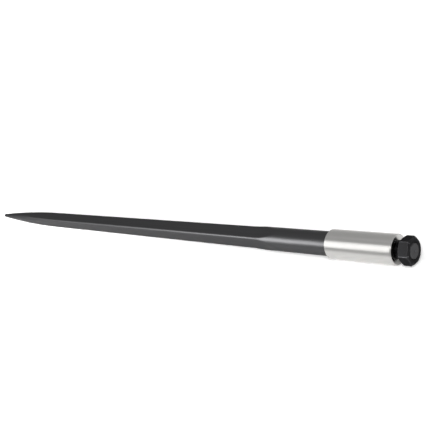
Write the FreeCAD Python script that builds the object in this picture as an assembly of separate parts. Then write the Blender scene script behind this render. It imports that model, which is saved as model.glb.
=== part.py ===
"""Bale spear with a weld-in sleeve and a hex nut, in millimetres.

The spear's axis is the X axis: the point is at -X, the threaded end at +X.
The origin is on the axis, in the middle of the sleeve. Two flats of the
square bar are level, so the spear lies on one of them.
"""

import FreeCAD, Part
import math
import os

# ---- round stock and tapered seat -------------------------------------
round_dia = 45.0            # plain round part of the shaft
round_length = 121.0        # plain round in front of the sleeve, up to the flats
seat_lead = 2.0             # the seat's taper begins this far before the sleeve
seat_small_dia = 32.0       # small end of the tapered seat
seat_setback = 4.0          # the seat ends this far inside the sleeve

# ---- square bar ---------------------------------------------------------
bar_length = 691.0          # from the run-out of the flats to the nose
bar_root_flats = 33.2       # across the flats where the run-out begins
bar_nose_flats = 28.0       # across the flats at the nose
bar_corner_r = 5.5          # rounded long corners
runout_r = 375.0            # radius on which each flat runs out to the round

# ---- nose ---------------------------------------------------------------
nose_length = 204.0         # from the square's corners to the point
nose_bulge = 1.7            # how far the nose's side stands out of a straight cone
tip_r = 4.3                 # blunt point
nose_overrun = 12.0         # the nose's side goes on this far past the square's corners

# ---- threaded end -------------------------------------------------------
thread_dia = 28.0           # outside of the thread
relief_dia = 25.0           # groove between the seat and the thread
relief_length = 5.0
thread_chamfer = 1.5
stud_proud = 0.5            # the stud's end beyond the nut
center_dia = 5.0            # mouth of the turning centre
center_pilot_dia = 2.5
center_pilot_depth = 4.0
center_angle = 60.0         # included angle of the countersink

# ---- sleeve -------------------------------------------------------------
sleeve_dia = 54.0
sleeve_length = 134.0
sleeve_chamfer = 1.8        # outside edges, both ends
bore_chamfer = 0.8          # inside edges, both ends
seat_clearance = 0.05       # radial, seat to bore

# ---- nut ----------------------------------------------------------------
nut_gap = 10.0              # from the sleeve's end to the nut
nut_flats = 44.5            # across the flats
nut_height = 19.5
nut_face_ratio = 0.93       # bearing circle over the flats
nut_chamfer_angle = 30.0    # chamfer's angle to the face
nut_mouth_chamfer = 1.2     # countersink of the thread, both faces
nut_turn = 5.0              # a corner's angle from straight up, degrees
thread_clearance = 0.1      # radial, stud to nut

# ---- stations along X ---------------------------------------------------
x_mouth = -sleeve_length / 2.0
x_end = sleeve_length / 2.0
x_seat_big = x_mouth - seat_lead
x_seat_small = x_end - seat_setback
x_thread = x_seat_small + relief_length
x_nut = x_end + nut_gap
x_nut_face = x_nut + nut_height
x_stud = x_nut_face + stud_proud
x_round = x_mouth - round_length

round_r = round_dia / 2.0
thread_r = thread_dia / 2.0
seat_small_r = seat_small_dia / 2.0
root_h = bar_root_flats / 2.0
nose_h = bar_nose_flats / 2.0
taper = math.atan2(root_h - nose_h, bar_length)

# The flat leaves the bar's taper on an arc and meets the round's top line
# at x_round; the cut runs a little higher so that it clears the round.
runout_over = 0.5


def runout_reach(rise):
    """Length of the run-out arc along X for a given rise."""
    swing = math.acos(math.cos(taper) - rise / runout_r)
    return runout_r * (math.sin(swing) - math.sin(taper))


x_root = x_round - runout_reach(round_r - root_h)
x_shoulder = x_root - bar_length
x_tip = x_shoulder - nose_length
x_cut = x_root + runout_reach(round_r + runout_over - root_h)


def seat_radius(x):
    """Radius of the tapered seat's cone at a station."""
    slope = (seat_small_r - round_r) / (x_seat_small - x_seat_big)
    return round_r + slope * (x - x_seat_big)


def pt(x, y):
    return FreeCAD.Vector(x, y, 0.0)


def line(a, b):
    return Part.LineSegment(a, b).toShape()


def arc(a, b, c):
    return Part.Arc(a, b, c).toShape()


def chain(points):
    """Straight edges through a list of points."""
    return [line(a, b) for a, b in zip(points[:-1], points[1:])]


def turned(edges):
    """Solid turned about the X axis from a closed half profile."""
    face = Part.Face(Part.Wire(edges))
    return face.revolve(FreeCAD.Vector(0, 0, 0), FreeCAD.Vector(1, 0, 0), 360.0)


def corner_reach(half):
    """Distance from the axis to the rounded corner of the square."""
    return half * math.sqrt(2.0) - bar_corner_r * (math.sqrt(2.0) - 1.0)


def nose_side():
    """Ends, hub and radius of the arc that bulges the nose's side.

    The arc's chord runs from the blunt point to the square's corners.
    """
    shoulder_r = corner_reach(nose_h)
    run = nose_length - tip_r
    rise = shoulder_r - tip_r
    lean = math.atan2(rise, run)
    tip_angle = lean + 2.0 * math.atan2(2.0 * nose_bulge, math.hypot(run, rise))
    x_ball = x_tip + tip_r
    blend = pt(x_ball - tip_r * math.sin(tip_angle), tip_r * math.cos(tip_angle))
    shoulder = pt(x_shoulder, shoulder_r)
    chord = blend.distanceToPoint(shoulder)
    radius = (chord * chord / 4.0 + nose_bulge * nose_bulge) / (2.0 * nose_bulge)
    drop = radius - nose_bulge
    slope = math.atan2(shoulder.y - blend.y, shoulder.x - blend.x)
    hub = (blend + shoulder) * 0.5 + pt(math.sin(slope), -math.cos(slope)) * drop
    return blend, tip_angle, hub, radius


def nose_edges():
    """Blunt point and bulged side of the nose, from the tip to the round.

    Past the square's corners the side keeps clear of the bar and then steps
    out to the round's size, so that it takes nothing more off the bar.
    """
    blend, tip_angle, hub, radius = nose_side()

    def on_side(x):
        return pt(x, hub.y + math.sqrt(radius * radius - (x - hub.x) ** 2))

    half = (math.pi / 2.0 + tip_angle) / 2.0
    x_ball = x_tip + tip_r
    on_ball = pt(x_ball - tip_r * math.sin(half), tip_r * math.cos(half))
    leave = on_side(x_shoulder + nose_overrun)
    middle = on_side((blend.x + leave.x) / 2.0)
    clear = pt(leave.x + nose_overrun, round_r)
    edges = [
        arc(pt(x_tip, 0.0), on_ball, blend),
        arc(blend, middle, leave),
        line(leave, clear),
    ]
    return edges, clear


def turned_blank():
    """The whole spear as turned: nose, round, tapered seat, threaded end."""
    edges, last = nose_edges()
    relief_r = relief_dia / 2.0
    step = thread_r - relief_r
    edges += chain([
        last,
        pt(x_seat_big, round_r),
        pt(x_seat_small, seat_small_r),
        pt(x_seat_small, relief_r),
        pt(x_thread - step, relief_r),
        pt(x_thread, thread_r),
        pt(x_stud - thread_chamfer, thread_r),
        pt(x_stud, thread_r - thread_chamfer),
        pt(x_stud, 0.0),
        pt(x_tip, 0.0),
    ])
    return turned(edges)


def flat_profile():
    """Outline between one pair of flats, seen from the side, up to the cut."""
    x_far = x_tip - tip_r
    far_h = root_h - (x_root - x_far) * math.tan(taper)
    swing = math.acos(math.cos(taper) - (round_r + runout_over - root_h) / runout_r)
    hub_x = x_root - runout_r * math.sin(taper)
    hub_h = root_h + runout_r * math.cos(taper)
    half = (taper + swing) / 2.0
    top = [
        (x_far, far_h),
        (x_root, root_h),
        (hub_x + runout_r * math.sin(half), hub_h - runout_r * math.cos(half)),
        (x_cut, round_r + runout_over),
    ]
    up = [FreeCAD.Vector(x, 0.0, z) for x, z in top]
    down = [FreeCAD.Vector(x, 0.0, -z) for x, z in top]
    return Part.Wire([
        line(up[0], up[1]),
        arc(up[1], up[2], up[3]),
        line(up[3], down[3]),
        arc(down[3], down[2], down[1]),
        line(down[1], down[0]),
        line(down[0], up[0]),
    ])


def square_die():
    """Tapered square with rounded corners, flaring out at the run-out."""
    reach = round_r + 2.0 * runout_over
    face = Part.Face(flat_profile())
    face.translate(FreeCAD.Vector(0.0, -reach, 0.0))
    slab = face.extrude(FreeCAD.Vector(0.0, 2.0 * reach, 0.0))
    side = slab.copy()
    side.rotate(FreeCAD.Vector(0, 0, 0), FreeCAD.Vector(1, 0, 0), 90.0)
    square = slab.common(side)
    corners = [e for e in square.Edges if runs_along_corner(e)]
    return square.makeFillet(bar_corner_r, corners)


def runs_along_corner(edge):
    """True for an edge on one of the square's four long corners."""
    first, last = edge.Vertexes[0].Point, edge.Vertexes[-1].Point
    on_corner = all(abs(abs(p.y) - abs(p.z)) < 1e-4 for p in (first, last))
    return on_corner and abs(first.x - last.x) > 1.0


def forging_waste():
    """What the dies take off the turned blank, between the tip and the cut."""
    wide = 2.0 * round_r
    start = x_tip - tip_r / 2.0
    block = Part.makeBox(
        x_cut - start, 2.0 * wide, 2.0 * wide, FreeCAD.Vector(start, -wide, -wide)
    )
    return block.cut(square_die())


def turning_centre():
    """Countersunk centre hole in the stud's end."""
    mouth_r = center_dia / 2.0
    pilot_r = center_pilot_dia / 2.0
    sink = (mouth_r - pilot_r) / math.tan(math.radians(center_angle / 2.0))
    deep = sink + center_pilot_depth
    return turned(chain([
        pt(x_stud + 1.0, 0.0),
        pt(x_stud + 1.0, mouth_r),
        pt(x_stud, mouth_r),
        pt(x_stud - sink, pilot_r),
        pt(x_stud - deep, pilot_r),
        pt(x_stud - deep - pilot_r * 0.6, 0.0),
        pt(x_stud + 1.0, 0.0),
    ]))


def make_spear():
    return turned_blank().cut(forging_waste()).cut(turning_centre())


def make_sleeve():
    """Weld-in sleeve with a tapered bore that fits the seat."""
    outer = sleeve_dia / 2.0
    front = seat_radius(x_mouth) + seat_clearance
    back = seat_radius(x_end) + seat_clearance
    front_in = seat_radius(x_mouth + bore_chamfer) + seat_clearance
    back_in = seat_radius(x_end - bore_chamfer) + seat_clearance
    return turned(chain([
        pt(x_mouth, front + bore_chamfer),
        pt(x_mouth, outer - sleeve_chamfer),
        pt(x_mouth + sleeve_chamfer, outer),
        pt(x_end - sleeve_chamfer, outer),
        pt(x_end, outer - sleeve_chamfer),
        pt(x_end, back + bore_chamfer),
        pt(x_end - bore_chamfer, back_in),
        pt(x_mouth + bore_chamfer, front_in),
        pt(x_mouth, front + bore_chamfer),
    ]))


def hex_prism():
    """Plain hexagon, one corner turned nut_turn from straight up."""
    corner_r = nut_flats / math.sqrt(3.0)
    corners = []
    for i in range(7):
        a = math.radians(90.0 + nut_turn + 60.0 * i)
        corners.append(FreeCAD.Vector(x_nut, corner_r * math.cos(a), corner_r * math.sin(a)))
    face = Part.Face(Part.Wire(chain(corners)))
    return face.extrude(FreeCAD.Vector(nut_height, 0.0, 0.0))


def nut_envelope():
    """Turned form that chamfers the hexagon's corners and cuts the bore."""
    face_r = nut_face_ratio * nut_flats / 2.0
    corner_r = nut_flats / math.sqrt(3.0)
    out_r = corner_r + 1.0
    drop = (out_r - face_r) * math.tan(math.radians(nut_chamfer_angle))
    bore = thread_r + thread_clearance
    mouth = bore + nut_mouth_chamfer
    return turned(chain([
        pt(x_nut, mouth),
        pt(x_nut, face_r),
        pt(x_nut + drop, out_r),
        pt(x_nut_face - drop, out_r),
        pt(x_nut_face, face_r),
        pt(x_nut_face, mouth),
        pt(x_nut_face - nut_mouth_chamfer, bore),
        pt(x_nut + nut_mouth_chamfer, bore),
        pt(x_nut, mouth),
    ]))


def make_nut():
    return hex_prism().common(nut_envelope())


def main():
    os.makedirs("parts", exist_ok=True)
    nodes = {
        "spear": make_spear(),
        "sleeve": make_sleeve(),
        "nut": make_nut(),
    }
    for name, shape in nodes.items():
        solid = shape.removeSplitter()
        if len(solid.Solids) != 1 or not solid.isValid():
            raise ValueError(name + " is not one valid solid")
        solid.Solids[0].exportStep("parts/" + name + ".step")


main()
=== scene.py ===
"""Bale spear with its weld-in sleeve and hex nut, dressed for a studio view.

The spear's axis is X: the point at -X, the threaded end at +X, and two flats
of the square bar level. The pieces' sizes are in millimetres and turn to
metres where a mesh is made. The studio's places are in metres.
"""

from __future__ import annotations

import logging
import math
from dataclasses import dataclass
from enum import Enum
from typing import Any

import bpy
import numpy as np
from mathutils import Matrix, Vector

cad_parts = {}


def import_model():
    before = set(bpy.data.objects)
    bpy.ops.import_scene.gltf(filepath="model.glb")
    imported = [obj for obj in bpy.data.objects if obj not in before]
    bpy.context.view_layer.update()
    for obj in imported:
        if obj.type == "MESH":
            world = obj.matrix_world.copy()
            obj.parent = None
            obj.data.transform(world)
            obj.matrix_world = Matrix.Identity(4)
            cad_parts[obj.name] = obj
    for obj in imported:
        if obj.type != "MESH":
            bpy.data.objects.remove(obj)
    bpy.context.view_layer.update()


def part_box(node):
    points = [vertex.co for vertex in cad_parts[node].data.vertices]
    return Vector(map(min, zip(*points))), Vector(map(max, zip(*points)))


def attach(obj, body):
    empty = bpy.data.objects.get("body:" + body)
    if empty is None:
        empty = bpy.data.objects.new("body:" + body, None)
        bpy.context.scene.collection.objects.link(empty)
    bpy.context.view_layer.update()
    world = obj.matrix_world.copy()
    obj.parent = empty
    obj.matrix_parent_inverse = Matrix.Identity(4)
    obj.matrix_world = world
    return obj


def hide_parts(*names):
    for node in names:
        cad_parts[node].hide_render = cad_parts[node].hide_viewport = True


MM = 0.001
WEAR = "wear"                           # vertex attribute: how far an edge is rubbed, 0 to 1
MIX_A, MIX_B, MIX_RESULT = 6, 7, 2      # colour sockets of a Mix node, by place
log = logging.getLogger("bale_spear")


class Slot(Enum):
    """The finishes that the part's record names."""

    SPEAR = "spear_coating"
    SLEEVE = "sleeve_steel"
    NUT = "nut_black"


# ---- meshes ------------------------------------------------------------------


def soft_min(a: np.ndarray, b: np.ndarray, blend: float) -> np.ndarray:
    """Smaller of two fields, with the crease between them rounded.

    Where they differ by less than blend, a parabola joins them below both.

    Args:
        a: First field.
        b: Second field, of a shape that broadcasts with the first.
        blend: Difference over which they are joined.

    Returns:
        The joined field.
    """
    share = np.clip(0.5 + 0.5 * (b - a) / blend, 0.0, 1.0)
    return b + (a - b) * share - blend * share * (1.0 - share)


def eased(corners: np.ndarray, closed: bool, steps: int = 5, hold_share: float = 0.6) -> np.ndarray:
    """Profile with its corners rounded by arcs.

    At a corner where the line turns by t, an arc of radius r leaves the line
    r * tan(t / 2) before the corner and meets it as far after. One more point
    on each side holds the straight wall's shading flat up to the arc.

    Args:
        corners: One row each: x, r and the radius it is rounded to, 0 for none.
        closed: True if the last corner joins the first.
        steps: Points on each arc.
        hold_share: Distance from the arc to the holding point, over the
            distance from the arc's end to the corner.

    Returns:
        The rounded profile's points, in order.
    """
    points, radii = corners[:, :2], corners[:, 2]
    before = points - np.roll(points, 1, axis=0)
    after = np.roll(points, -1, axis=0) - points
    if not closed:
        before[0], after[-1] = after[0], before[-1]
    into = before / np.linalg.norm(before, axis=1, keepdims=True)
    out = after / np.linalg.norm(after, axis=1, keepdims=True)
    turn = np.arctan2(into[:, 0] * out[:, 1] - into[:, 1] * out[:, 0], (into * out).sum(axis=1))
    cut = radii * np.tan(np.abs(turn) / 2.0)
    side = np.sign(turn)[:, None] * np.stack([-into[:, 1], into[:, 0]], axis=1)
    start = points - into * cut[:, None]
    hub = start + side * radii[:, None]
    swing = turn[:, None] * np.linspace(0.0, 1.0, steps)
    arm = -side * radii[:, None]
    arc = np.stack([
        hub[:, :1] + arm[:, :1] * np.cos(swing) - arm[:, 1:] * np.sin(swing),
        hub[:, 1:] + arm[:, :1] * np.sin(swing) + arm[:, 1:] * np.cos(swing),
    ], axis=-1)
    hold = hold_share * cut[:, None]
    ends = [start - into * hold, points + out * (cut[:, None] + hold)]
    path = np.concatenate([ends[0][:, None], arc, ends[1][:, None]], axis=1).reshape(-1, 2)
    return distinct(path)


def distinct(path: np.ndarray, nearest: float = 1e-6) -> np.ndarray:
    """Path without the points that repeat the one before.

    Args:
        path: Points, one (x, r) row each.
        nearest: Distance up to which two points are the same.

    Returns:
        The points that are left.
    """
    gap = np.linalg.norm(np.diff(path, axis=0), axis=1)
    return path[np.concatenate([[True], gap > nearest])]


def divided(path: np.ndarray, longest: float, crowd: float = 0.2) -> np.ndarray:
    """Path with points added along it at even distances.

    Args:
        path: Points, one (x, r) row each.
        longest: Distance between added points.
        crowd: Share of that distance within which an old point serves.

    Returns:
        The old and the added points, sorted by distance along the path.
    """
    walked = np.concatenate([[0.0], np.cumsum(np.linalg.norm(np.diff(path, axis=0), axis=1))])
    extra = np.arange(longest, walked[-1], longest)
    near = np.abs(extra[:, None] - walked[None, :]).min(axis=1) < crowd * longest
    at = np.sort(np.concatenate([walked, extra[~near]]))
    return np.stack([np.interp(at, walked, path[:, k]) for k in (0, 1)], axis=1)


def rings(x: np.ndarray, radius: np.ndarray, angles: np.ndarray) -> np.ndarray:
    """Rings about the X axis: point (i, j) is x, r cos(a), r sin(a).

    Args:
        x: Station of each ring.
        radius: Radius of each ring, or of each point of each ring.
        angles: Angle of each point of a ring, from +Y towards +Z.

    Returns:
        Points of shape (rings, points on a ring, 3), in millimetres.
    """
    radius = radius[:, None] if radius.ndim == 1 else radius
    radius = radius + np.zeros((len(x), len(angles)))
    along = x[:, None] + np.zeros_like(radius)
    return np.stack([along, radius * np.cos(angles), radius * np.sin(angles)], axis=-1)


def skin(
    name: str, points: np.ndarray, loop: bool, band_finish: np.ndarray | None = None
) -> bpy.types.Object:
    """Closed smooth skin over a stack of rings.

    A quad joins points j and j + 1 of ring i to the same points of ring
    i + 1. The last ring joins the first, or each end closes on one pole at
    its ring's centre. Outward is to the left of the way that the rings run.

    Args:
        name: The piece's name.
        points: Rings of points in millimetres.
        loop: True if the last ring joins the first.
        band_finish: Material number of each band of quads. A pole takes its
            neighbour's.

    Returns:
        The new object, riding on the root body.
    """
    count, around = points.shape[:2]
    i, j = np.meshgrid(np.arange(count if loop else count - 1), np.arange(around), indexing="ij")
    i_next, j_next = (i + 1) % count, (j + 1) % around
    corners = [i * around + j, i * around + j_next, i_next * around + j_next, i_next * around + j]
    quads = np.stack(corners, axis=-1).reshape(-1, 4)
    verts, index = points.reshape(-1, 3), quads.ravel()
    sizes = np.full(len(quads), 4)
    if not loop:
        verts = np.vstack([verts, points[0].mean(axis=0), points[-1].mean(axis=0)])
        k, k_next, end = np.arange(around), (np.arange(around) + 1) % around, (count - 1) * around
        pole = np.full(around, count * around)
        first = np.stack([k_next, k, pole], axis=-1)
        last = np.stack([end + k, end + k_next, pole + 1], axis=-1)
        index = np.concatenate([index, first.ravel(), last.ravel()])
        sizes = np.concatenate([sizes, np.full(2 * around, 3)])
    mesh = bpy.data.meshes.new(name)
    mesh.vertices.add(len(verts))
    mesh.vertices.foreach_set("co", (verts * MM).ravel())
    mesh.loops.add(len(index))
    mesh.loops.foreach_set("vertex_index", index)
    mesh.polygons.add(len(sizes))
    mesh.polygons.foreach_set("loop_start", np.cumsum(sizes) - sizes)
    mesh.polygons.foreach_set("use_smooth", np.ones(len(sizes), dtype=bool))
    if band_finish is not None:
        poles = [] if loop else [band_finish[0], band_finish[-1]]
        bands = np.concatenate([band_finish, poles]).astype(np.int32)
        mesh.polygons.foreach_set("material_index", np.repeat(bands, around))
    mesh.update(calc_edges=True)
    obj = bpy.data.objects.new(name, mesh)
    bpy.context.scene.collection.objects.link(obj)
    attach(obj, "root")
    return obj


# ---- finishes ----------------------------------------------------------------


def srgb(code: str) -> tuple[float, ...]:
    """Linear colour of an sRGB hex code.

    Args:
        code: The code, such as #1c1c1d.

    Returns:
        Red, green, blue and an alpha of 1.
    """
    parts = [int(code[k:k + 2], 16) / 255.0 for k in (1, 3, 5)]
    linear = [c / 12.92 if c <= 0.04045 else ((c + 0.055) / 1.055) ** 2.4 for c in parts]
    return (*linear, 1.0)


def add_node(
    tree: bpy.types.NodeTree,
    kind: str,
    settings: dict[Any, Any] | None = None,
    links: dict[Any, bpy.types.NodeSocket] | None = None,
) -> bpy.types.Node:
    """Adds one shader node with its settings and links.

    Args:
        tree: The material's or the world's tree.
        kind: The node's type.
        settings: Values by property name, or else by input socket.
        links: Output sockets by the input socket that each one feeds.

    Returns:
        The new node.
    """
    node = tree.nodes.new(kind)
    for key, value in (settings or {}).items():
        if isinstance(key, str) and hasattr(node, key):
            setattr(node, key, value)
        else:
            node.inputs[key].default_value = value
    for key, source in (links or {}).items():
        tree.links.new(source, node.inputs[key])
    return node


def blank_material(name: str) -> tuple[bpy.types.Material, bpy.types.NodeTree]:
    """New material with an empty node tree.

    Args:
        name: The material's name.

    Returns:
        The material and its tree.
    """
    material = bpy.data.materials.new(name)
    material.use_nodes = True
    material.node_tree.nodes.clear()
    return material, material.node_tree


@dataclass(frozen=True)
class SatinPowderCoat:
    """Black polyester powder coat, baked over forged steel.

    Baked powder gives the eye a deep, even black with a satin sheen, broken
    by a fine orange peel and by the low hammer waves of the forging below.
    Its sheen hardly grows at grazing angles, so it is set as a very dark
    metal with a grey edge colour.
    """

    colour: str = "#464647"
    edge_colour: str = "#c4c4c4"
    roughness: float = 0.36
    peel_mm: float = 1.8            # real peel is about 0.8 mm, drawn coarser to show
    peel_height_mm: float = 0.06
    peel_strength: float = 0.30
    wave_mm: float = 34.0           # length of a forging wave
    wave_height_mm: float = 1.2
    wave_strength: float = 0.35

    def material(self) -> bpy.types.Material:
        """The finished material."""
        material, tree = blank_material("satin_black_powder_coat")
        place = add_node(tree, "ShaderNodeTexCoord").outputs["Object"]
        waves = add_node(
            tree, "ShaderNodeTexNoise",
            {"Scale": 1.0 / (self.wave_mm * MM), "Detail": 1.0}, {"Vector": place},
        )
        hills = add_node(
            tree, "ShaderNodeBump",
            {"Strength": self.wave_strength, "Distance": self.wave_height_mm * MM},
            {"Height": waves.outputs["Fac"]},
        )
        peel = add_node(
            tree, "ShaderNodeTexNoise",
            {"Scale": 1.0 / (self.peel_mm * MM), "Detail": 2.0}, {"Vector": place},
        )
        grain = add_node(
            tree, "ShaderNodeBump",
            {"Strength": self.peel_strength, "Distance": self.peel_height_mm * MM},
            {"Height": peel.outputs["Fac"], "Normal": hills.outputs["Normal"]},
        )
        shader = add_node(
            tree, "ShaderNodeBsdfPrincipled",
            {
                "Base Color": srgb(self.colour), "Roughness": self.roughness,
                "Metallic": 1.0, "Specular Tint": srgb(self.edge_colour),
            },
            {"Normal": grain.outputs["Normal"]},
        )
        add_node(tree, "ShaderNodeOutputMaterial", None, {"Surface": shader.outputs["BSDF"]})
        return material


@dataclass(frozen=True)
class OiledThreadGapShade:
    """Cut thread of the spear, blackened and kept oiled.

    The oil gives the eye a near black with a narrow sheen along the ridges,
    smeared unevenly. Its colour is set deeper than the coat beside it, partly
    the oiled black and partly painted shade for the gap between the sleeve
    and the nut, where the thread shows.
    """

    # painted shade: this deep black also stands for the shade in the gap between sleeve and nut
    colour: str = "#1d1d1e"
    dry_roughness: float = 0.42
    wet_roughness: float = 0.24
    smear_mm: float = 4.0
    smear_low: float = 0.3      # noise below this is wet, and above the next is dry
    smear_high: float = 0.7

    def material(self) -> bpy.types.Material:
        """The finished material."""
        material, tree = blank_material("oiled_thread_gap_shade")
        place = add_node(tree, "ShaderNodeTexCoord").outputs["Object"]
        smears = add_node(
            tree, "ShaderNodeTexNoise",
            {"Scale": 1.0 / (self.smear_mm * MM), "Detail": 2.0}, {"Vector": place},
        )
        film = add_node(
            tree, "ShaderNodeMapRange",
            {
                "From Min": self.smear_low, "From Max": self.smear_high,
                "To Min": self.wet_roughness, "To Max": self.dry_roughness,
            },
            {"Value": smears.outputs["Fac"]},
        )
        shader = add_node(
            tree, "ShaderNodeBsdfPrincipled", {"Base Color": srgb(self.colour), "Metallic": 1.0},
            {"Roughness": film.outputs["Result"]},
        )
        add_node(tree, "ShaderNodeOutputMaterial", None, {"Surface": shader.outputs["BSDF"]})
        return material


@dataclass(frozen=True)
class TurnedSteel:
    """Bare mild steel, turned on a lathe, as on the sleeve's outside.

    Turning gives the eye a bright grey metal with fine rings about the axis,
    which stretch a lamp's reflection along the sleeve.
    """

    colour: str = "#c4c3c1"
    roughness: float = 0.48         # the middle of the two ways, across and along the rings
    stretch: float = 1.0            # rings scatter light along the axis, not round it
    quarter_turn: float = 0.25      # from round the axis to along it, as a share of a turn
    feed_mm: float = 1.1            # real feed is about 0.3 mm, drawn coarser to show
    mark_height_mm: float = 0.04
    mark_strength: float = 0.25

    def material(self) -> bpy.types.Material:
        """The finished material."""
        material, tree = blank_material("turned_bare_steel")
        place = add_node(tree, "ShaderNodeTexCoord").outputs["Object"]
        split = add_node(tree, "ShaderNodeSeparateXYZ", None, {"Vector": place})
        flat = add_node(
            tree, "ShaderNodeCombineXYZ", None,
            {"Y": split.outputs["Y"], "Z": split.outputs["Z"]},
        )
        reach = add_node(
            tree, "ShaderNodeVectorMath", {"operation": "LENGTH"}, {0: flat.outputs["Vector"]}
        )
        cone = add_node(
            tree, "ShaderNodeMath", {"operation": "ADD"},
            {0: split.outputs["X"], 1: reach.outputs["Value"]},
        )
        lines = add_node(
            tree, "ShaderNodeTexNoise",
            {"noise_dimensions": "1D", "Scale": 1.0 / (self.feed_mm * MM), "Detail": 2.0},
            {"W": cone.outputs["Value"]},
        )
        marks = add_node(
            tree, "ShaderNodeBump",
            {"Strength": self.mark_strength, "Distance": self.mark_height_mm * MM},
            {"Height": lines.outputs["Fac"]},
        )
        round_axis = add_node(tree, "ShaderNodeTangent", {"direction_type": "RADIAL", "axis": "X"})
        shader = add_node(
            tree, "ShaderNodeBsdfPrincipled",
            {
                "Base Color": srgb(self.colour), "Metallic": 1.0, "Roughness": self.roughness,
                "Anisotropic": self.stretch, "Anisotropic Rotation": self.quarter_turn,
            },
            {"Normal": marks.outputs["Normal"], "Tangent": round_axis.outputs["Tangent"]},
        )
        add_node(tree, "ShaderNodeOutputMaterial", None, {"Surface": shader.outputs["BSDF"]})
        return material


@dataclass(frozen=True)
class FacedSteel:
    """Bare mild steel, faced and bored on a lathe with a fine finishing cut.

    The fine cut gives the eye a smoother, glossier grey than the turned
    outside, which mirrors the black spear and nut beside it.
    """

    colour: str = "#b9b8b6"
    roughness: float = 0.20
    feed_mm: float = 1.1            # real feed is about 0.1 mm, drawn coarser to show
    mark_height_mm: float = 0.03
    mark_strength: float = 0.2

    def material(self) -> bpy.types.Material:
        """The finished material."""
        material, tree = blank_material("faced_bare_steel")
        place = add_node(tree, "ShaderNodeTexCoord").outputs["Object"]
        flat = add_node(
            tree, "ShaderNodeVectorMath", {"operation": "MULTIPLY", 1: (0.0, 1.0, 1.0)}, {0: place}
        )
        reach = add_node(
            tree, "ShaderNodeVectorMath", {"operation": "LENGTH"}, {0: flat.outputs["Vector"]}
        )
        lines = add_node(
            tree, "ShaderNodeTexNoise",
            {"noise_dimensions": "1D", "Scale": 1.0 / (self.feed_mm * MM), "Detail": 2.0},
            {"W": reach.outputs["Value"]},
        )
        marks = add_node(
            tree, "ShaderNodeBump",
            {"Strength": self.mark_strength, "Distance": self.mark_height_mm * MM},
            {"Height": lines.outputs["Fac"]},
        )
        shader = add_node(
            tree, "ShaderNodeBsdfPrincipled",
            {"Base Color": srgb(self.colour), "Metallic": 1.0, "Roughness": self.roughness},
            {"Normal": marks.outputs["Normal"]},
        )
        add_node(tree, "ShaderNodeOutputMaterial", None, {"Surface": shader.outputs["BSDF"]})
        return material


@dataclass(frozen=True)
class BlackOxide:
    """Hot black oxide on a machined steel nut.

    Blackening gives the eye a soft, nearly dull black. Along the edges, where
    handling rubs the thin oxide, bare grey steel shows through in patches.
    """

    colour: str = "#272728"
    worn_colour: str = "#77777a"
    edge_colour: str = "#b4b4b4"
    roughness: float = 0.36
    patch_mm: float = 2.5
    patch_low: float = 0.30         # noise below this is black, and above the next is bare
    patch_high: float = 0.62
    patch_height_mm: float = 0.05
    patch_strength: float = 0.2

    def material(self) -> bpy.types.Material:
        """The finished material."""
        material, tree = blank_material("black_oxide_steel")
        place = add_node(tree, "ShaderNodeTexCoord").outputs["Object"]
        rubbed = add_node(tree, "ShaderNodeAttribute", {"attribute_name": WEAR})
        patches = add_node(
            tree, "ShaderNodeTexNoise",
            {"Scale": 1.0 / (self.patch_mm * MM), "Detail": 3.0}, {"Vector": place},
        )
        bare = add_node(
            tree, "ShaderNodeMapRange", {"From Min": self.patch_low, "From Max": self.patch_high},
            {"Value": patches.outputs["Fac"]},
        )
        share = add_node(
            tree, "ShaderNodeMath", {"operation": "MULTIPLY"},
            {0: rubbed.outputs["Fac"], 1: bare.outputs["Result"]},
        )
        tint = add_node(
            tree, "ShaderNodeMix",
            {"data_type": "RGBA", MIX_A: srgb(self.colour), MIX_B: srgb(self.worn_colour)},
            {0: share.outputs["Value"]},
        )
        grain = add_node(
            tree, "ShaderNodeBump",
            {"Strength": self.patch_strength, "Distance": self.patch_height_mm * MM},
            {"Height": patches.outputs["Fac"]},
        )
        shader = add_node(
            tree, "ShaderNodeBsdfPrincipled",
            {
                "Roughness": self.roughness, "Metallic": 1.0,
                "Specular Tint": srgb(self.edge_colour),
            },
            {"Base Color": tint.outputs[MIX_RESULT], "Normal": grain.outputs["Normal"]},
        )
        add_node(tree, "ShaderNodeOutputMaterial", None, {"Surface": shader.outputs["BSDF"]})
        return material


# ---- the spear ---------------------------------------------------------------


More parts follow.
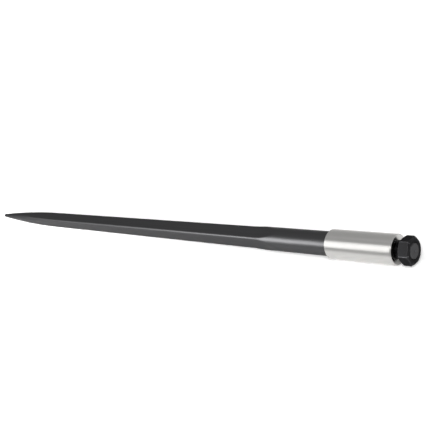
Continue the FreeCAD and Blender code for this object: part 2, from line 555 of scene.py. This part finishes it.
@dataclass
class Spear:
    """Forged spear: nose, tapered square bar, round shaft, seat and thread."""

    tip_x: float
    stud_x: float
    tip_r: float = 4.3
    nose_length: float = 204.0
    nose_bulge: float = 1.7
    nose_overrun: float = 12.0
    bar_length: float = 691.0
    nose_half: float = 14.0
    root_half: float = 16.6
    corner_r: float = 5.5
    runout_r: float = 375.0
    round_r: float = 22.5
    seat_big_x: float = -69.0
    seat_small_x: float = 63.0
    seat_small_r: float = 16.0
    relief_r: float = 12.5
    thread_x: float = 68.0
    thread_r: float = 14.0
    thread_pitch: float = 1.5
    groove_share: float = 0.61      # depth of a 60 degree groove over the pitch
    flank_gain: float = 1.15        # a gain over 1 leaves the groove a flat root
    crest_share: float = 0.1        # leaves the ridge a flat crest
    rings_per_pitch: int = 8
    chamfer: float = 1.5
    centre_r: float = 2.5
    centre_half_angle: float = 30.0
    pilot_r: float = 1.25
    pilot_depth: float = 4.0
    drill_tip: float = 0.7          # length of the pilot's pointed bottom
    drill_tip_r: float = 0.05
    runout_reach: float = 75.0      # the flats are gone this far after root_x
    edge_blend: float = 1.6         # rounding where the forged faces meet
    around: int = 192

    @property
    def shoulder_x(self) -> float:
        """Station where the nose reaches the square's corners."""
        return self.tip_x + self.nose_length

    @property
    def root_x(self) -> float:
        """Station where the flats leave the bar's taper."""
        return self.shoulder_x + self.bar_length

    @property
    def thread_step(self) -> float:
        """Height of the thread's outside over the relief."""
        return self.thread_r - self.relief_r

    @property
    def taper(self) -> float:
        """Angle of a flat to the axis."""
        return math.atan2(self.root_half - self.nose_half, self.bar_length)

    def nose_arc(self) -> tuple[float, float, float, float]:
        """Start, hub and radius of the arc that bulges the nose's side.

        The arc's chord runs from the blunt point's ball to the square's
        corner, and its middle stands nose_bulge out of that chord.

        Returns:
            The tip's half angle, the hub's x and r, and the arc's radius.
        """
        root2 = math.sqrt(2.0)
        corner = self.nose_half * root2 - self.corner_r * (root2 - 1.0)
        run, rise = self.nose_length - self.tip_r, corner - self.tip_r
        half = math.atan2(rise, run)
        half += 2.0 * math.atan2(2.0 * self.nose_bulge, math.hypot(run, rise))
        x_blend = self.tip_x + self.tip_r * (1.0 - math.sin(half))
        r_blend = self.tip_r * math.cos(half)
        dx, dr = self.shoulder_x - x_blend, corner - r_blend
        chord = math.hypot(dx, dr)
        radius = (chord * chord / 4.0 + self.nose_bulge**2) / (2.0 * self.nose_bulge)
        drop = (radius - self.nose_bulge) / chord
        return half, x_blend + dx / 2.0 + dr * drop, r_blend + dr / 2.0 - dx * drop, radius

    def forged_profile(self) -> np.ndarray:
        """Turned outline of the forged length, from the tip to the round.

        A ball, then the nose's arc, which goes on past the square's corners
        and steps out to the round's radius. Rings stand close together from
        where the flats begin to cut the nose, and on the run-out.

        Returns:
            Points (x, r) from just off the tip to the round shaft.
        """
        ball_rings, nose_rings, cut_rings, bar_rings, runout_rings = 12, 26, 76, 40, 56
        coarse_end, fine_start = 92.0, 91.0     # before the square's corners
        bar_lead = 5.0                          # before the run-out
        half, hub_x, hub_r, radius = self.nose_arc()
        phi = np.linspace(0.0, math.pi / 2.0 - half, ball_rings)[1:]
        ball = np.stack(
            [self.tip_x + self.tip_r * (1.0 - np.cos(phi)), self.tip_r * np.sin(phi)], axis=1
        )
        leave = self.shoulder_x + self.nose_overrun
        x = np.concatenate([
            np.linspace(ball[-1, 0], self.shoulder_x - coarse_end, nose_rings)[1:],
            np.linspace(self.shoulder_x - fine_start, leave, cut_rings),
        ])
        nose = np.stack([x, hub_r + np.sqrt(radius**2 - (x - hub_x) ** 2)], axis=1)
        x = np.concatenate([
            np.linspace(leave + self.nose_overrun, self.root_x - bar_lead, bar_rings),
            np.linspace(self.root_x, self.root_x + self.runout_reach, runout_rings),
        ])
        bar = np.stack([x, np.full(len(x), self.round_r)], axis=1)
        return np.concatenate([ball, nose, bar])

    def flat_height(self, x: np.ndarray) -> np.ndarray:
        """Half distance between two flats at each station.

        It grows evenly along the bar, then leaves on an arc of runout_r that
        starts along the taper and rises past the round.

        Args:
            x: Stations.

        Returns:
            The half distance at each one.
        """
        hub_x = self.root_x - self.runout_r * math.sin(self.taper)
        hub_h = self.root_half + self.runout_r * math.cos(self.taper)
        bar = self.root_half - (self.root_x - x) * math.tan(self.taper)
        arc = hub_h - np.sqrt(self.runout_r**2 - (np.maximum(x, self.root_x) - hub_x) ** 2)
        return np.where(x < self.root_x, bar, arc)

    def square_radius(self, x: np.ndarray, angles: np.ndarray) -> np.ndarray:
        """Radius of the rounded square at each station and angle.

        With a and b the larger and smaller of |cos| and |sin|, a flat at
        height h is at h / a, and a corner is where the ray leaves a circle
        of corner_r about (h - corner_r, h - corner_r).

        Args:
            x: Stations.
            angles: Angles about the axis.

        Returns:
            The radii, one row for each station.
        """
        cos, sin = np.abs(np.cos(angles)), np.abs(np.sin(angles))
        a, b = np.maximum(cos, sin), np.minimum(cos, sin)
        height = self.flat_height(x)[:, None]
        inner = height - self.corner_r
        on_flat = height * b / a <= inner
        along = inner * (a + b)
        under = np.maximum(self.corner_r**2 - 2.0 * inner**2 + along**2, 0.0)
        return np.where(on_flat, height / a, along + np.sqrt(under))

    def tail_profile(self, start: float) -> np.ndarray:
        """Turned outline from the round shaft to the stud's end face.

        Args:
            start: Station where the forged length ends.

        Returns:
            Points (x, r) with every machined edge broken by a small arc.
        """
        end, soft, inner, fine = self.stud_x, 0.4, 0.6, 0.1
        sink = (self.centre_r - self.pilot_r) / math.tan(math.radians(self.centre_half_angle))
        bottom = end - sink - self.pilot_depth
        corners = np.array([
            [start, self.round_r, 0.0],
            [self.seat_big_x, self.round_r, soft],
            [self.seat_small_x, self.seat_small_r, soft],
            [self.seat_small_x, self.relief_r, inner],
            [self.thread_x - self.thread_step, self.relief_r, inner],
            [self.thread_x, self.thread_r, 0.0],
            [end - self.chamfer, self.thread_r, 0.0],
            [end, self.thread_r - self.chamfer, 2.5 * fine],
            [end, self.centre_r, 1.5 * fine],
            [end - sink, self.pilot_r, fine],
            [bottom, self.pilot_r, fine],
            [bottom - self.drill_tip, self.drill_tip_r, 0.0],
        ])
        return eased(corners, closed=False)

    def thread_depth(self, x: np.ndarray, angles: np.ndarray) -> np.ndarray:
        """Depth of the right-hand thread below its outside.

        The phase x / pitch - angle / turn runs round the helix, and a
        triangle wave of it, cut flat at both ends, is the 60 degree groove.

        Args:
            x: Stations.
            angles: Angles about the axis.

        Returns:
            The depths, one row for each station.
        """
        phase = x[:, None] / self.thread_pitch - angles / (2.0 * math.pi)
        wave = 2.0 * np.abs(phase - np.floor(phase) - 0.5)
        depth = np.clip(self.flank_gain * wave - self.crest_share, 0.0, 1.0)
        return self.groove_share * self.thread_pitch * depth

    def build(self) -> bpy.types.Object:
        """The spear as one closed skin, its thread with a darker finish of its own, which also
        paints the shade in the gap between sleeve and nut.
        """
        gap, slack = 4.0, 0.1       # bare length before the tail, and play in the relief's radius
        angles = np.linspace(0.0, 2.0 * math.pi, self.around, endpoint=False)
        forged = self.forged_profile()
        square = self.square_radius(forged[:, 0], angles)
        radius = soft_min(forged[:, 1:], square, self.edge_blend)
        tail = self.tail_profile(forged[-1, 0] + gap)
        past_relief = tail[:, 0] >= self.thread_x - self.thread_step
        on_thread = past_relief & (tail[:, 1] > self.relief_r - slack)
        first = int(np.argmax(on_thread))
        last = int(np.flatnonzero(on_thread & (tail[:, 0] <= self.stud_x))[-1])
        plain = tail[:first], tail[last + 1:]
        x = np.arange(tail[first, 0], tail[last, 0], self.thread_pitch / self.rings_per_pitch)
        outside = np.interp(x, tail[first:last + 1, 0], tail[first:last + 1, 1])
        ridge = np.minimum(outside[:, None], self.thread_r - self.thread_depth(x, angles))
        wide = np.zeros((1, self.around))
        all_x = np.concatenate([forged[:, 0], plain[0][:, 0], x, plain[1][:, 0]])
        all_r = np.concatenate([radius, plain[0][:, 1:] + wide, ridge, plain[1][:, 1:] + wide])
        middle = (all_x[:-1] + all_x[1:]) / 2.0
        # the thread's darker finish partly paints the shade in the gap between the sleeve and the
        # nut
        threaded = (middle > self.seat_small_x) & (middle < self.stud_x - self.chamfer)
        sunk = all_r[:-1].max(axis=1) < self.relief_r - self.chamfer
        cut = (threaded & ~sunk).astype(np.int32)
        return skin("spear_forging", rings(all_x, all_r, angles), loop=False, band_finish=cut)


# ---- sleeve and nut ----------------------------------------------------------


@dataclass
class WeldSleeve:
    """Weld-in sleeve: plain turned outside, tapered bore, chamfered ends."""

    mouth_x: float
    end_x: float
    outer_r: float = 27.0
    chamfer: float = 1.8
    bore_chamfer: float = 0.8
    bore_mouth_r: float = 22.452    # the seat's cone at each end, plus its clearance
    bore_end_r: float = 15.853
    edge_r: float = 0.25            # burr taken off each machined edge
    around: int = 256

    def build(self) -> bpy.types.Object:
        """The sleeve as one closed skin, its ends and bore with the second finish."""
        c, b = self.chamfer, self.bore_chamfer
        corners = np.array([
            [self.mouth_x, self.bore_mouth_r + b],
            [self.mouth_x, self.outer_r - c],
            [self.mouth_x + c, self.outer_r],
            [self.end_x - c, self.outer_r],
            [self.end_x, self.outer_r - c],
            [self.end_x, self.bore_end_r + b],
            [self.end_x - b, self.bore_end_r],
            [self.mouth_x + b, self.bore_mouth_r],
        ])
        path = eased(np.insert(corners, 2, self.edge_r, axis=1), closed=True)
        angles = np.linspace(0.0, 2.0 * math.pi, self.around, endpoint=False)
        middle = (path[:, 1] + np.roll(path[:, 1], -1)) / 2.0
        faced = (middle < self.outer_r - c).astype(np.int32)
        points = rings(path[:, 0], path[:, 1], angles)
        return skin("weld_sleeve", points, loop=True, band_finish=faced)


@dataclass
class HexNut:
    """Hex nut, chamfered on both faces, with a countersunk bore."""

    seat_x: float
    face_x: float
    flats: float = 44.5
    face_ratio: float = 0.93
    chamfer_angle: float = 30.0
    bore_r: float = 14.1
    mouth: float = 1.2
    turn: float = 95.0          # angle of one corner, from +Y towards +Z
    edge_blend: float = 0.7     # rounding of the hexagon's edges
    wear_width: float = 0.8     # reach of the rubbed edge
    cone_wear: float = 0.2      # rubbing of the chamfer's edge, against 1 on the others
    blank_over: float = 1.0     # radius of the turned blank over the hexagon's corners
    face_edge_r: float = 0.4
    mouth_edge_r: float = 0.2
    ring_step: float = 0.5
    around: int = 240

    @property
    def apothem(self) -> float:
        """Distance from the axis to a flat."""
        return self.flats / 2.0

    def flat_pair(self, angles: np.ndarray) -> tuple[np.ndarray, np.ndarray]:
        """Radii of the nearest flat and of the next one at each angle.

        A flat whose normal is g away is at the apothem over cos(g).

        Args:
            angles: Angles about the axis.

        Returns:
            The radii of the two planes at each angle.
        """
        away = np.mod(angles - math.radians(self.turn), math.pi / 3.0) - math.pi / 6.0
        other = math.pi / 3.0 - np.abs(away)
        return self.apothem / np.cos(away), self.apothem / np.cos(other)

    def wear(self, profile: np.ndarray, angles: np.ndarray) -> np.ndarray:
        """How far each point is rubbed bare, 0 to 1.

        It is 1 where two flats meet and cone_wear where a flat meets the
        chamfer's cone, and falls off over wear_width as exp(-(gap / width)^2),
        gap being the difference of the two surfaces' radii there.

        Args:
            profile: Radius of the turned blank at each ring, as a column.
            angles: Angles about the axis.

        Returns:
            The shares, one row for each ring.
        """
        flat, other = self.flat_pair(angles)
        along = np.exp(-(((other - flat) / self.wear_width) ** 2))
        cone = self.cone_wear * np.exp(-(((profile - flat) / self.wear_width) ** 2))
        outside = profile > self.face_ratio * self.apothem - self.wear_width
        return np.where(outside, np.maximum(along, cone), 0.0).astype(np.float32)

    def build(self) -> bpy.types.Object:
        """The nut as one closed skin: the turned blank cut by the hexagon."""
        face_r = self.face_ratio * self.apothem
        out_r = self.flats / math.sqrt(3.0) + self.blank_over
        drop = (out_r - face_r) * math.tan(math.radians(self.chamfer_angle))
        mouth_r = self.bore_r + self.mouth
        corners = np.array([
            [self.seat_x, mouth_r, self.mouth_edge_r],
            [self.seat_x, face_r, self.face_edge_r],
            [self.seat_x + drop, out_r, 0.0],
            [self.face_x - drop, out_r, 0.0],
            [self.face_x, face_r, self.face_edge_r],
            [self.face_x, mouth_r, self.mouth_edge_r],
            [self.face_x - self.mouth, self.bore_r, self.mouth_edge_r],
            [self.seat_x + self.mouth, self.bore_r, self.mouth_edge_r],
        ])
        path = divided(eased(corners, closed=True), self.ring_step)
        angles = math.radians(self.turn) + np.linspace(
            0.0, 2.0 * math.pi, self.around, endpoint=False
        )
        hexagon = soft_min(*self.flat_pair(angles), self.edge_blend)
        radius = soft_min(path[:, 1:], hexagon, self.edge_blend)
        nut = skin("hex_nut", rings(path[:, 0], radius, angles), loop=True)
        wear = nut.data.attributes.new(WEAR, "FLOAT", "POINT")
        wear.data.foreach_set("value", self.wear(path[:, 1:], angles).ravel())
        return nut


# ---- studio ------------------------------------------------------------------


@dataclass(frozen=True)
class Lamp:
    """A soft box: the ends of its middle line, its aim, width and glow, in metres."""

    name: str
    near: tuple[float, float, float]
    far: tuple[float, float, float]
    aim: tuple[float, float, float]
    width: float
    glow: float

    def build(self) -> bpy.types.Object:
        """Area lamp, square to its aim, with a power of pi * area * glow."""
        near, far = Vector(self.near), Vector(self.far)
        data = bpy.data.lights.new(self.name, "AREA")
        data.shape = "RECTANGLE"
        data.size, data.size_y = (near - far).length, self.width
        data.energy = math.pi * data.size * data.size_y * self.glow
        along = (near - far).normalized()
        back = (near + far) / 2.0 - Vector(self.aim)
        back = (back - along * back.dot(along)).normalized()
        turn = Matrix((along, back.cross(along), back)).transposed()
        lamp = bpy.data.objects.new(self.name, data)
        lamp.visible_camera = False
        lamp.matrix_world = Matrix.Translation((near + far) / 2.0) @ turn.to_4x4()
        bpy.context.scene.collection.objects.link(lamp)
        return lamp


@dataclass(frozen=True)
class Studio:
    """Pale floor and walls, soft boxes above the spear, and the camera, in metres."""

    wall_glow: float = 0.68
    far_wall_glow: float = 0.46     # the studio's far end, beyond the point, is dimmer
    floor_colour: str = "#e8e8e8"
    floor_seen: float = 1.25        # the paper's colour to the eye and metal, above 1 to read white
    floor_size: float = 14.0
    rim: tuple[float, float] = (-0.0652, -0.0271)
    nose: tuple[float, float] = (-1.02, -0.0139)
    dim_from: float = -0.68     # share of a direction along X at which the far end begins
    dim_to: float = -0.98
    sensor: float = 36.0
    clip: tuple[float, float] = (0.05, 60.0)
    lens: float = 65.72
    eye: tuple[float, float, float] = (0.74378, -0.69857, 0.92703)
    right: tuple[float, float, float] = (0.72309, 0.48206, -0.49473)
    up: tuple[float, float, float] = (-0.04700, 0.74890, 0.66103)

    def floor(self) -> bpy.types.Object:
        """Floor through the sleeve's rim and the bar's nose end, each an (x, z)."""
        slope = (self.nose[1] - self.rim[1]) / (self.nose[0] - self.rim[0])
        half = self.floor_size / 2.0
        x, y = np.array([-half, half, half, -half]), np.array([-half, -half, half, half])
        z = self.rim[1] + slope * (x - self.rim[0])
        mesh = bpy.data.meshes.new("pale_floor")
        mesh.from_pydata(np.stack([x, y, z], axis=1).tolist(), [], [(0, 1, 2, 3)])
        obj = bpy.data.objects.new("pale_floor", mesh)
        bpy.context.scene.collection.objects.link(obj)
        mesh.materials.append(self.floor_material())
        return obj

    def floor_material(self) -> bpy.types.Material:
        """Matt pale paper, whiter to the eye, to metal and to glass.

        What those rays see is the same paper with its shadows, only lighter.
        """
        material, tree = blank_material("matt_pale_paper")
        path = add_node(tree, "ShaderNodeLightPath")
        seen = add_node(
            tree, "ShaderNodeMath", {"operation": "MAXIMUM"},
            {0: path.outputs["Is Camera Ray"], 1: path.outputs["Is Glossy Ray"]},
        )
        shown = add_node(
            tree, "ShaderNodeMath", {"operation": "MAXIMUM"},
            {0: seen.outputs["Value"], 1: path.outputs["Is Transmission Ray"]},
        )
        tint = add_node(
            tree, "ShaderNodeMix",
            {
                "data_type": "RGBA", MIX_A: srgb(self.floor_colour),
                MIX_B: (*[self.floor_seen] * 3, 1.0),
            },
            {0: shown.outputs["Value"]},
        )
        paper = add_node(tree, "ShaderNodeBsdfDiffuse", None, {"Color": tint.outputs[MIX_RESULT]})
        add_node(tree, "ShaderNodeOutputMaterial", None, {"Surface": paper.outputs["BSDF"]})
        return material

    def world(self) -> None:
        """Pale grey walls all round, falling off to the dimmer far end.

        The glow depends on how far a direction points along -X: it is full up
        to dim_from, and falls smoothly to far_wall_glow at dim_to.
        """
        world = bpy.data.worlds.new("pale_grey_walls")
        bpy.context.scene.world = world
        world.use_nodes = True
        tree = world.node_tree
        tree.nodes.clear()
        way = add_node(tree, "ShaderNodeTexCoord").outputs["Generated"]
        split = add_node(tree, "ShaderNodeSeparateXYZ", None, {"Vector": way})
        glow = add_node(
            tree, "ShaderNodeMapRange",
            {
                "interpolation_type": "SMOOTHSTEP",
                "From Min": self.dim_to, "From Max": self.dim_from,
                "To Min": self.far_wall_glow, "To Max": self.wall_glow,
            },
            {"Value": split.outputs["X"]},
        )
        walls = add_node(
            tree, "ShaderNodeBackground", {"Color": (1.0, 1.0, 1.0, 1.0)},
            {"Strength": glow.outputs["Result"]},
        )
        add_node(tree, "ShaderNodeOutputWorld", None, {"Surface": walls.outputs["Background"]})

    def lamps(self) -> list[Lamp]:
        """The soft boxes: one over each stretch of the object, one at its end."""
        return [
            Lamp(
                "shaft_box", near=(-1.04, -1.09, 1.02), far=(-1.60, -1.16, 0.94),
                aim=(-1.3, 0.0, 0.0), width=0.8, glow=17.0,
            ),
            Lamp(
                "bar_box", near=(-1.60, -1.16, 0.99), far=(-3.30, -1.16, 0.99),
                aim=(-2.4, 0.0, 0.0), width=1.6, glow=2.5,
            ),
            Lamp(
                "end_lamp", near=(1.9, 0.60, 1.44), far=(2.1, 0.74, 1.44),
                aim=(0.09, 0.0, 0.0), width=0.2, glow=30.0,
            ),
            Lamp(
                "sleeve_box", near=(1.5, -0.68, 1.34), far=(0.5, -0.68, 1.34),
                aim=(0.0, 0.0, 0.0), width=0.46, glow=9.0,
            ),
        ]

    def camera(self) -> bpy.types.Object:
        """Camera that looks down the spear from beyond its threaded end."""
        data = bpy.data.cameras.new("camera")
        data.lens, data.sensor_width = self.lens, self.sensor
        data.clip_start, data.clip_end = self.clip
        camera = bpy.data.objects.new("camera", data)
        right, up = Vector(self.right).normalized(), Vector(self.up)
        back = right.cross(up).normalized()
        turn = Matrix((right, back.cross(right), back)).transposed()
        camera.matrix_world = Matrix.Translation(self.eye) @ turn.to_4x4()
        bpy.context.scene.collection.objects.link(camera)
        bpy.context.scene.camera = camera
        return camera

    def build(self) -> None:
        """Sets up the floor, the walls, the lamps and the camera."""
        self.floor()
        self.world()
        for lamp in self.lamps():
            lamp.build()
        self.camera()
        bpy.context.scene.view_settings.view_transform = "Standard"


# ---- assembly ----------------------------------------------------------------


def station(node: str, end: int) -> float:
    """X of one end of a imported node.

    Args:
        node: The node's name.
        end: 0 for the low end, 1 for the high.

    Returns:
        The X in millimetres.
    """
    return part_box(node)[end][0] / MM


def dress(obj: bpy.types.Object, node: str, slot: Slot, *materials: bpy.types.Material) -> None:
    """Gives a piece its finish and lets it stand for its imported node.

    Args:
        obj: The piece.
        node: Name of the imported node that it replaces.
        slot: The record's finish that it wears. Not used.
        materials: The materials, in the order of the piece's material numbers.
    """
    for material in materials:
        obj.data.materials.append(material)
    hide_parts(node)
    names = ", ".join(material.name for material in materials)
    log.info("%s: %d faces, finish %s", obj.name, len(obj.data.polygons), names)


def main() -> None:
    """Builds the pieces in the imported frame, and the studio round them."""
    logging.basicConfig(level=logging.INFO, format="%(name)s %(message)s")
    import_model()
    spear = Spear(tip_x=station("spear", 0), stud_x=station("spear", 1)).build()
    sleeve = WeldSleeve(mouth_x=station("sleeve", 0), end_x=station("sleeve", 1)).build()
    nut = HexNut(seat_x=station("nut", 0), face_x=station("nut", 1)).build()
    dress(spear, "spear", Slot.SPEAR, SatinPowderCoat().material(), OiledThreadGapShade().material())
    dress(sleeve, "sleeve", Slot.SLEEVE, TurnedSteel().material(), FacedSteel().material())
    dress(nut, "nut", Slot.NUT, BlackOxide().material())
    Studio().build()


if __name__ == "__main__":
    main()
